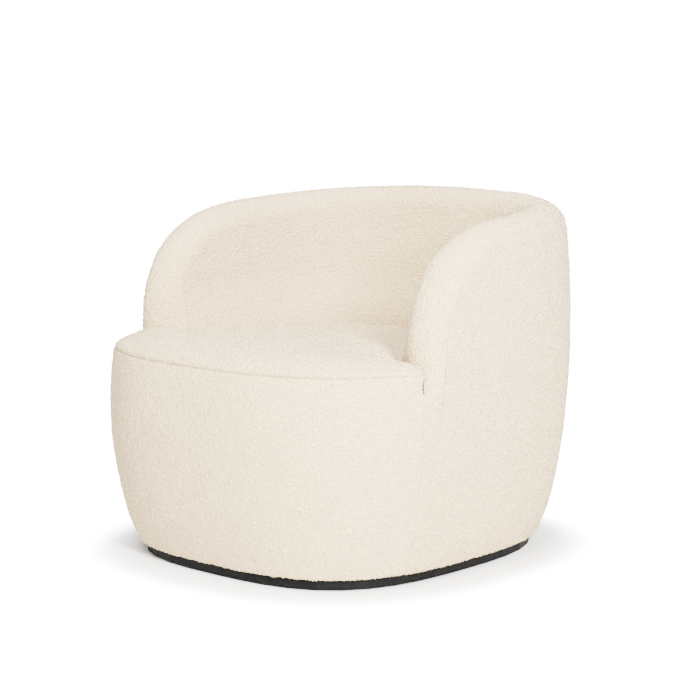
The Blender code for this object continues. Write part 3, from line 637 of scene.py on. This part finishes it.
def foam_material(finish):
    """Pale open-celled foam."""
    nodes = Nodes("foam_filling")
    cells = nodes.add("ShaderNodeTexVoronoi", {"Vector": nodes.coordinates, "Scale": 900})
    grain = nodes.band(cells.outputs["Distance"], 0.1, 0.7)
    pale = tuple(min(1.0, value * 1.12) for value in finish.foam)
    nodes.link(nodes.mix(grain, pale, tuple(finish.foam)), "Base Color")
    nodes.set(Roughness=0.9)
    nodes.bump(grain, 0.0006, 0.4)
    return nodes.material


def plywood_material(finish):
    """Birch plywood: a long wavy grain with thin darker plies."""
    nodes = Nodes("frame_plywood")
    stretched = nodes.add("ShaderNodeMapping", {"Vector": nodes.coordinates, "Scale": (9, 9, 70)})
    grain = nodes.noise(3.0, 5.0, stretched.outputs[0], 0.6).outputs["Fac"]
    plies = nodes.add("ShaderNodeTexWave", {"Vector": nodes.coordinates, "Scale": 110, "Distortion": 0.6},
                      bands_direction="Z").outputs["Fac"]
    dark = tuple(value * 0.62 for value in finish.timber)
    light = tuple(min(1.0, value * 1.18) for value in finish.timber)
    face = nodes.mix(nodes.band(grain, 0.3, 0.75), light, tuple(finish.timber))
    lines = nodes.math("MULTIPLY", nodes.band(plies, 0.75, 1.0), 0.45)
    nodes.link(nodes.mix(lines, face, dark), "Base Color")
    nodes.set(Roughness=0.6)
    nodes.bump(grain, 0.0004, 0.35)
    return nodes.material


def felt_material(name, colour):
    """Matt felt or lining with a fluffy surface."""
    nodes = Nodes(name)
    fluff = nodes.noise(420, 4.0, roughness=0.7).outputs["Fac"]
    light = tuple(min(1.0, value * 1.5 + 0.01) for value in colour)
    nodes.link(nodes.mix(nodes.band(fluff, 0.3, 0.75), colour, light), "Base Color")
    nodes.set(Roughness=0.96)
    nodes.bump(fluff, 0.0006, 0.5)
    return nodes.material


SCUFF_COLOUR = (0.004, 0.004, 0.004)


def lacquer_material(finish):
    """Dull black lacquer with faint scuffs."""
    nodes = Nodes("base_lacquer")
    peel = nodes.noise(240, 2.0).outputs["Fac"]
    scuff = nodes.noise(18, 5.0, roughness=0.7).outputs["Fac"]
    scuffed = nodes.band(scuff, 0.62, 0.78)
    nodes.link(nodes.mix(scuffed, tuple(finish.lacquer), SCUFF_COLOUR), "Base Color")
    nodes.link(nodes.math("ADD", nodes.math("MULTIPLY", scuff, 0.25), 0.5), "Roughness")
    nodes.set(Specular_IOR_Level=0.08)
    nodes.bump(peel, 0.0002, 0.15)
    return nodes.material


def steel_material(name, colour, roughness):
    """Plated steel with a fine drawn grain and faint clouding."""
    nodes = Nodes(name)
    stretched = nodes.add("ShaderNodeMapping", {"Vector": nodes.coordinates, "Scale": (900, 60, 60)})
    lines = nodes.noise(1.0, 3.0, stretched.outputs[0]).outputs["Fac"]
    clouds = nodes.noise(35, 3.0).outputs["Fac"]
    dark = tuple(value * 0.8 for value in colour)
    nodes.link(nodes.mix(nodes.band(clouds, 0.3, 0.7), dark, colour), "Base Color")
    nodes.link(nodes.math("ADD", nodes.math("MULTIPLY", lines, 0.2), roughness - 0.1), "Roughness")
    nodes.set(Metallic=1.0)
    nodes.bump(lines, 0.0001, 0.2)
    return nodes.material


# ---- operators ----


def boucle(context):
    """The cloth's material, made once."""
    material = bpy.data.materials.get("cream_boucle")
    return material or boucle_material(context.scene.armchair_finish, context.scene.armchair_shape)


def wall_panel(context, name, points, seams, node):
    """One cloth panel of the wall, in place of its frame node."""
    cloth, normal, nubs = shaped_cloth(points, context.scene.armchair_shape, seams)
    finish_piece(cloth_panel(name, cloth, normal, nubs), boucle(context), [node])


class ARMCHAIR_OT_outside_covers(bpy.types.Operator):
    """Cloth panels of the outer wall: the back and both arms, from the rim seam to the hem"""

    bl_idname = "armchair.outside_covers"
    bl_label = "Outside Covers"

    def execute(self, context):
        tub = Tub(context.scene.armchair_shape)
        seam = tub.way_at(OUTSIDE_SEAM_ANGLE)
        for name, start, end, first, last in (
                ("back", -seam + SEAM_HALF, seam - SEAM_HALF, FINE_SEAM, FINE_SEAM),
                ("arm_left", seam + SEAM_HALF, tub.arm_way, FINE_SEAM, SIDE_SEAM),
                ("arm_right", -tub.arm_way, -seam - SEAM_HALF, SIDE_SEAM, FINE_SEAM)):
            part, _, side = name.partition("_")
            node = "_".join(filter(None, ("outside", part, "cover", side)))
            wall_panel(context, f"outside_cloth_{name}", outside_points(tub, start, end),
                       (first, last, RIM_SEAM, PLAIN), node)
        return {"FINISHED"}


class ARMCHAIR_OT_inside_covers(bpy.types.Operator):
    """Cloth panels of the inner back and arms, which wrap over the rim"""

    bl_idname = "armchair.inside_covers"
    bl_label = "Inside Covers"

    def execute(self, context):
        tub = Tub(context.scene.armchair_shape)
        seam = tub.way_at(BACK_SEAM_ANGLE)
        for name, start, end, first, last in (
                ("back", -seam + SEAM_HALF, seam - SEAM_HALF, FINE_SEAM, FINE_SEAM),
                ("arm_left", seam + SEAM_HALF, tub.arm_way, FINE_SEAM, PLAIN),
                ("arm_right", -tub.arm_way, -seam - SEAM_HALF, PLAIN, FINE_SEAM)):
            part, _, side = name.partition("_")
            node = "_".join(filter(None, ("inside", part, "cover", side)))
            wall_panel(context, f"inside_cloth_{name}", inside_points(tub, start, end),
                       (first, last, PLAIN, RIM_SEAM), node)
        return {"FINISHED"}


class ARMCHAIR_OT_apron(bpy.types.Operator):
    """Cloth panel of the seat's front, from the seat seam to the hem"""

    bl_idname = "armchair.apron"
    bl_label = "Apron"

    def execute(self, context):
        shape = context.scene.armchair_shape
        points = apron_points(Tub(shape))
        cloth, normal, nubs = shaped_cloth(points, shape, (SIDE_SEAM, SIDE_SEAM, SEAT_SEAM, PLAIN))
        first, last, _, _ = edge_runs(points)
        # Painted shade: the slit under each arm is coloured dark, as shade inside the gap.
        nubs = nubs - SLIT_SHADE_TONE * slit(np.minimum(first, last), shape.seat_seam - points[..., 2])
        piece = cloth_panel("apron_cloth", cloth, normal, nubs)
        finish_piece(piece, boucle(context), ["apron_cover"])
        return {"FINISHED"}


SEAT_CENTRE = (0.0, -0.10)
SEAT_CREASE_GAP = 0.002
SEAT_CORNER = 0.004
SEAT_LOW_Z = 0.322
SEAT_FACE = 0.006
SEAT_EDGE = 0.004
SEAT_AROUND = 2.9
SEAT_REACH = 0.32
SEAT_LOOP_POINTS = (600, 400)
SEAT_RAKE = 0.030
SEAT_RAKE_FROM = -0.30
SEAT_RAKE_TO = 0.28
SEAT_RAKE_RANGE = (-1, 1.2)
SIDE_ROLL = 0.045
SIDE_ROLL_WIDTH = 0.075
FRONT_ROLL_WIDTH = 0.070
ROLL_POWER = 2.2
CUSHION_PRESSURE = 4.0
CUSHION_TENSION = 60
CUSHION_BENDING = 5
CUSHION_FRAMES = 20
CUSHION_CAP = 0.008
CUSHION_STEP = 0.011
NEARLY_0 = 1e-9
NEARLY_1 = 1 - NEARLY_0


def seat_loop(tub, count):
    """The seat's edge as places round it from the back right, and how much each is at the front."""
    shape = tub.shape
    behind, ahead = SEAT_LOOP_POINTS
    inner = np.linspace(-tub.arm_way, tub.arm_way, behind)
    inset = tub.skin(inner, SWELL_LOW_Z) + shape.wall + SEAT_SWELL + SEAT_CREASE_GAP
    corner = tub.arm_way + SEAT_CORNER
    outer = np.linspace(corner, 2 * tub.half_round - corner, ahead)
    edge = np.concatenate([tub.spot(inner, inset, 0)[:, :2],
                           tub.spot(outer, tub.skin(outer, shape.seat_seam), 0)[:, :2]])
    front = np.append(np.zeros(len(inner)), np.ones(len(outer)))
    first = int(np.argmin(np.abs(inner + tub.arm_way / 2)))
    edge, front = np.roll(edge, -first, axis=0), np.roll(front, -first)
    edge, front = np.append(edge, edge[:1], axis=0), np.append(front, front[0])
    run = np.concatenate([[0], np.cumsum(np.linalg.norm(np.diff(edge, axis=0), axis=1))])
    spots = np.linspace(0, run[-1], count + 1)
    places = np.stack([np.interp(spots, run, edge[:, axis]) for axis in (0, 1)], axis=1)
    return places, np.interp(spots, run, front)


def seat_top(tub, size):
    """Grid of the seat's top, whose rings follow the seat's edge.

    The result is the points, how much each is at the front, and its ring, from 0 in the middle to 1.
    """
    shape = tub.shape
    u, v = np.meshgrid(np.linspace(-1, 1, size), np.linspace(-1, 1, size), indexing="ij")
    ring = np.maximum(np.abs(u), np.abs(v))
    safe = np.maximum(ring, NEARLY_0)
    s, t = u / safe, v / safe
    sides = [t >= NEARLY_1, s >= NEARLY_1, t <= -NEARLY_1]
    turn = np.select(sides, [(s + 1) / 2, 1 + (1 - t) / 2, 2 + (1 - s) / 2], 3 + (t + 1) / 2)
    count = 4 * (size - 1)
    edge, front = seat_loop(tub, count)
    place = turn / 4 * count
    index = np.arange(count + 1)
    x, y = (np.interp(place, index, edge[:, axis]) for axis in (0, 1))
    front = np.interp(place, index, front)
    reach = np.hypot(x - SEAT_CENTRE[0], y - SEAT_CENTRE[1])
    away = (1 - ring) * reach
    x = SEAT_CENTRE[0] + (x - SEAT_CENTRE[0]) * ring
    y = SEAT_CENTRE[1] + (y - SEAT_CENTRE[1]) * ring
    behind = np.clip((y - SEAT_RAKE_FROM) / (SEAT_RAKE_TO - SEAT_RAKE_FROM), *SEAT_RAKE_RANGE)
    crown = shape.seat_crown - SEAT_RAKE * behind
    side = np.clip(1 - away / SIDE_ROLL_WIDTH, 0, 1)
    ahead = np.clip(1 - away / FRONT_ROLL_WIDTH, 0, 1)
    side_drop = SIDE_ROLL * (1 - np.sqrt(1 - side**ROLL_POWER))
    front_drop = crown * (1 - np.sqrt(1 - ahead**ROLL_POWER))
    z = shape.seat_seam + crown - side_drop * (1 - front) - front_drop * front
    return np.stack([x, y, z], axis=-1), front, ring


def resampled(grid, size):
    """Square grid of vectors brought to another number of points."""
    old = np.linspace(0, 1, len(grid))
    new = np.linspace(0, 1, size)
    half = np.stack([np.stack([np.interp(new, old, grid[:, j, k]) for k in range(3)], axis=1)
                     for j in range(len(grid))], axis=1)
    return np.stack([np.stack([np.interp(new, old, half[i, :, k]) for k in range(3)], axis=1)
                     for i in range(size)], axis=0)


def blown(points):
    """How far each point of a grid moves when cloth pinned at its edge is blown up, up to a cap."""
    columns, rows = points.shape[:2]
    faces = turned_over(grid_faces(columns, rows))
    mesh = bpy.data.meshes.new("blown_cloth")
    mesh.from_pydata(list(map(tuple, points.reshape(-1, 3))), [], faces)
    cloth = bpy.data.objects.new("blown_cloth", mesh)
    bpy.context.scene.collection.objects.link(cloth)
    pinned = [i * rows + j for i in range(columns) for j in range(rows)
              if i in (0, columns - 1) or j in (0, rows - 1)]
    cloth.vertex_groups.new(name="edge").add(pinned, 1.0, "REPLACE")
    bpy.ops.object.select_all(action="DESELECT")
    cloth.select_set(True)
    bpy.context.view_layer.objects.active = cloth
    bpy.ops.object.modifier_add(type="CLOTH")
    modifier = cloth.modifiers[-1]
    modifier.settings.vertex_group_mass = "edge"
    modifier.settings.use_pressure = True
    modifier.settings.uniform_pressure_force = CUSHION_PRESSURE
    modifier.settings.tension_stiffness = CUSHION_TENSION
    modifier.settings.bending_stiffness = CUSHION_BENDING
    modifier.settings.effector_weights.gravity = 0
    modifier.point_cache.frame_start, modifier.point_cache.frame_end = 1, CUSHION_FRAMES
    for moment in range(1, CUSHION_FRAMES + 1):
        bpy.context.scene.frame_set(moment)
    bpy.ops.object.modifier_apply(modifier=modifier.name)
    moved = np.empty(columns * rows * 3)
    cloth.data.vertices.foreach_get("co", moved)
    bpy.data.objects.remove(cloth)
    bpy.context.scene.frame_set(1)
    shift = moved.reshape(points.shape) - points
    length = np.linalg.norm(shift, axis=-1, keepdims=True)
    return shift * np.minimum(1, CUSHION_CAP / np.maximum(length, NEARLY_0))


def cushion(name, top, nubs):
    """Closed cushion: the grid as its top, sides down to the seat's bed and a flat underside."""
    size = len(top)
    vertices = list(map(tuple, top.reshape(-1, 3)))
    faces = turned_over(grid_faces(size, size))
    last = size - 1
    rim = ([(i, 0) for i in range(last)] + [(last, j) for j in range(last)]
           + [(i, last) for i in range(last, 0, -1)] + [(0, j) for j in range(last, 0, -1)])
    above = [i * size + j for i, j in rim]
    middle = np.array(SEAT_CENTRE)
    for low in (False, True):
        row = []
        for i, j in rim:
            spot = top[i, j]
            toward = middle - spot[:2]
            flat = spot[:2] + toward / np.linalg.norm(toward) * SEAT_FACE
            row.append(len(vertices))
            vertices.append((*flat, SEAT_LOW_Z if low else spot[2] - SEAT_EDGE))
        for k in range(len(rim)):
            after = (k + 1) % len(rim)
            faces.append((above[k], row[k], row[after], above[after]))
        above = row
    faces.append(tuple(reversed(above)))
    return new_piece(name, vertices, faces, nubs.ravel())


class ARMCHAIR_OT_seat(bpy.types.Operator):
    """Crowned seat cushion, blown up by a cloth simulation and held at its seams"""

    bl_idname = "armchair.seat"
    bl_label = "Seat"

    def execute(self, context):
        shape = context.scene.armchair_shape
        tub = Tub(shape)
        size = 2 * round(SEAT_AROUND / shape.cloth_step / 8) + 1
        top, front, ring = seat_top(tub, size)
        coarse, _, _ = seat_top(tub, 2 * round(SEAT_AROUND / CUSHION_STEP / 8) + 1)
        top = top + resampled(blown(coarse), size)
        cloth, normal, nubs = shaped_cloth(top, shape, (PLAIN, PLAIN, PLAIN, PLAIN))
        edge = (1 - ring) * SEAT_REACH
        depth, radius = SEAT_SEAM
        dip = depth * np.clip(1 - edge / radius, 0, 1) ** 2 * front
        cloth = cloth - normal * dip[..., None]
        # Painted shade: the seat seam's dip also darkens the cloth's colour there.
        piece = cushion("seat_cushion", cloth, nubs - dip / shape.nub_height)
        finish_piece(piece, boucle(context), ["seat_cover", "seat_foam"])
        return {"FINISHED"}


CARRIED_FINISHES = (
    ("foam", ("back_foam", "arm_foam_", "apron_foam")),
    ("felt", ("floor_pad", "spring_pad")),
    ("lining", ("dust_cover",)),
    ("lacquer", ("base_disc", "plinth_skirt")),
    ("zinc", ("swivel_lower", "swivel_upper", "swivel_pin", "ball_cage", "base_screw", "plate_bolt")),
    ("spring", ("seat_spring",)),
    ("plywood", ("bottom_frame", "seat_frame", "top_rail", "back_rib", "corner_rib", "side_rib",
                 "arm_post", "front_rib", "front_swivel_rail", "rear_swivel_rail")),
)
PAD_COLOUR = (0.12, 0.12, 0.125)
LINING_COLOUR = (0.012, 0.012, 0.013)
ZINC_COLOUR = (0.62, 0.63, 0.65)
SPRING_COLOUR = (0.32, 0.33, 0.35)


class ARMCHAIR_OT_frame_finishes(bpy.types.Operator):
    """Finishes of the carried-over frame, foam, springs, swivel and base"""

    bl_idname = "armchair.frame_finishes"
    bl_label = "Frame Finishes"

    def execute(self, context):
        finish = context.scene.armchair_finish
        materials = {
            "foam": foam_material(finish),
            "felt": felt_material("pad_felt", PAD_COLOUR),
            "lining": felt_material("dust_lining", LINING_COLOUR),
            "lacquer": lacquer_material(finish),
            "zinc": steel_material("swivel_zinc", ZINC_COLOUR, 0.35),
            "spring": steel_material("spring_wire", SPRING_COLOUR, 0.42),
            "plywood": plywood_material(finish),
        }
        for kind, starts in CARRIED_FINISHES:
            for name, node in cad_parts.items():
                if name.startswith(starts):
                    node.data.materials.clear()
                    node.data.materials.append(materials[kind])
        return {"FINISHED"}


WHITE = (1.0, 1.0, 1.0, 1.0)
FLOOR_SIDE = 60
AMBIENT_LIGHT = 0.95
BACKDROP_LIGHT = 20.0
FLOOR_GLOW = 20.0
# Painted shadow: how far from the chair the floor's glow is dimmed.
PAINTED_SHADOW_REACH = 0.16
LIGHT_AIM = Vector((0, 0, 0.35))
SOFTBOXES = (
    # name, degrees round from the front, metres away and up, sides, watts
    ("key", 59, 3.6, 1.85, (0.30, 1.4), 840),
    ("overhead", 25, 1.5, 3.2, (2.2, 2.2), 370),
)
CAMERA_AZIMUTH = math.radians(42.66)
CAMERA_TURN = math.radians(-0.358)
CAMERA_PITCH = math.radians(8.40)
CAMERA_AWAY = 4.257
CAMERA_HEIGHT = 1.024
CAMERA_LENS = 110.7
CAMERA_SENSOR = 36


def standing_at(azimuth, away, height):
    """Place at an angle round the chair from its front, a distance away and a height."""
    return math.sin(azimuth) * away, -math.cos(azimuth) * away, height


class ARMCHAIR_OT_stage(bpy.types.Operator):
    """Pale floor, soft studio light and the camera"""

    bl_idname = "armchair.stage"
    bl_label = "Stage"

    def execute(self, context):
        scene = context.scene
        self.floor(context)
        self.backdrop(scene)
        for softbox in SOFTBOXES:
            self.softbox(scene, *softbox)
        self.camera(scene)
        return {"FINISHED"}

    def floor(self, context):
        """Floor that the camera sees as white away from the chair, with a contact shadow painted close to
        it by dimming its glow where it is occluded.
        """
        bpy.ops.object.select_all(action="DESELECT")
        bpy.ops.mesh.primitive_plane_add(size=FLOOR_SIDE)
        floor = context.object
        floor.name = "studio_floor"
        nodes = Nodes("studio_floor")
        speckle = nodes.math("MULTIPLY", nodes.noise(3.0, 2.0).outputs["Fac"], 0.1)
        colour = tuple(context.scene.armchair_finish.floor)
        nodes.link(nodes.mix(speckle, colour, WHITE[:3]), "Base Color")
        nodes.set(Roughness=0.8, Emission_Color=WHITE)
        seen = nodes.add("ShaderNodeLightPath").outputs["Is Camera Ray"]
        # Painted shadow: the glow that the camera sees fades where the floor is occluded near the chair.
        opening = nodes.add("ShaderNodeAmbientOcclusion", {"Distance": PAINTED_SHADOW_REACH}).outputs["AO"]
        unshadowed_share = nodes.math("POWER", nodes.band(opening, 0.42, 1.0), 2.5)
        glow = nodes.math("MULTIPLY", unshadowed_share, FLOOR_GLOW)
        nodes.link(nodes.math("MULTIPLY", seen, glow), "Emission Strength")
        floor.data.materials.append(nodes.material)

    def backdrop(self, scene):
        """World that lights the chair softly and is white to the camera."""
        world = bpy.data.worlds.new("studio")
        world.use_nodes = True
        tree = world.node_tree
        background = tree.nodes["Background"]
        background.inputs["Color"].default_value = WHITE
        seen = tree.nodes.new("ShaderNodeLightPath")
        glow = tree.nodes.new("ShaderNodeMapRange")
        glow.inputs["To Min"].default_value = AMBIENT_LIGHT
        glow.inputs["To Max"].default_value = BACKDROP_LIGHT
        tree.links.new(seen.outputs["Is Camera Ray"], glow.inputs["Value"])
        tree.links.new(glow.outputs[0], background.inputs["Strength"])
        scene.world = world

    def softbox(self, scene, name, azimuth, away, height, sides, power):
        """Rectangular area light that faces the chair."""
        light = bpy.data.lights.new(name, "AREA")
        light.shape = "RECTANGLE"
        light.size, light.size_y = sides
        light.energy = power
        lamp = bpy.data.objects.new(name, light)
        scene.collection.objects.link(lamp)
        lamp.location = standing_at(math.radians(azimuth), away, height)
        lamp.rotation_euler = (LIGHT_AIM - lamp.location).to_track_quat("-Z", "Y").to_euler()

    def camera(self, scene):
        """Camera a little above the rim, to the front left of the sitter."""
        data = bpy.data.cameras.new("camera")
        data.lens = CAMERA_LENS
        data.sensor_width = CAMERA_SENSOR
        camera = bpy.data.objects.new("camera", data)
        scene.collection.objects.link(camera)
        camera.location = standing_at(CAMERA_AZIMUTH, CAMERA_AWAY, CAMERA_HEIGHT)
        heading = CAMERA_AZIMUTH + CAMERA_TURN
        camera.rotation_euler = (math.pi / 2 - CAMERA_PITCH, 0, heading)
        scene.camera = camera


class ARMCHAIR_PT_panel(bpy.types.Panel):
    """Armchair pieces and settings"""

    bl_label = "Armchair"
    bl_space_type = "VIEW_3D"
    bl_region_type = "UI"
    bl_category = "Armchair"

    def draw(self, context):
        layout = self.layout
        for group in (context.scene.armchair_shape, context.scene.armchair_finish):
            for name in group.bl_rna.properties.keys():
                if name not in {"rna_type", "name"}:
                    layout.prop(group, name)
        for operator in PIECES:
            layout.operator(operator.bl_idname)


PIECES = (
    ARMCHAIR_OT_outside_covers,
    ARMCHAIR_OT_inside_covers,
    ARMCHAIR_OT_apron,
    ARMCHAIR_OT_seat,
    ARMCHAIR_OT_frame_finishes,
    ARMCHAIR_OT_stage,
)
CLASSES = (ArmchairShape, ArmchairFinish, *PIECES, ARMCHAIR_PT_panel)


def register():
    for item in CLASSES:
        bpy.utils.register_class(item)
    bpy.types.Scene.armchair_shape = bpy.props.PointerProperty(type=ArmchairShape)
    bpy.types.Scene.armchair_finish = bpy.props.PointerProperty(type=ArmchairFinish)


def unregister():
    del bpy.types.Scene.armchair_finish
    del bpy.types.Scene.armchair_shape
    for item in reversed(CLASSES):
        bpy.utils.unregister_class(item)


def main():
    register()
    bpy.ops.armchair.outside_covers()
    bpy.ops.armchair.inside_covers()
    bpy.ops.armchair.apron()
    bpy.ops.armchair.seat()
    bpy.ops.armchair.frame_finishes()
    bpy.ops.armchair.stage()


if __name__ == "__main__":
    main()
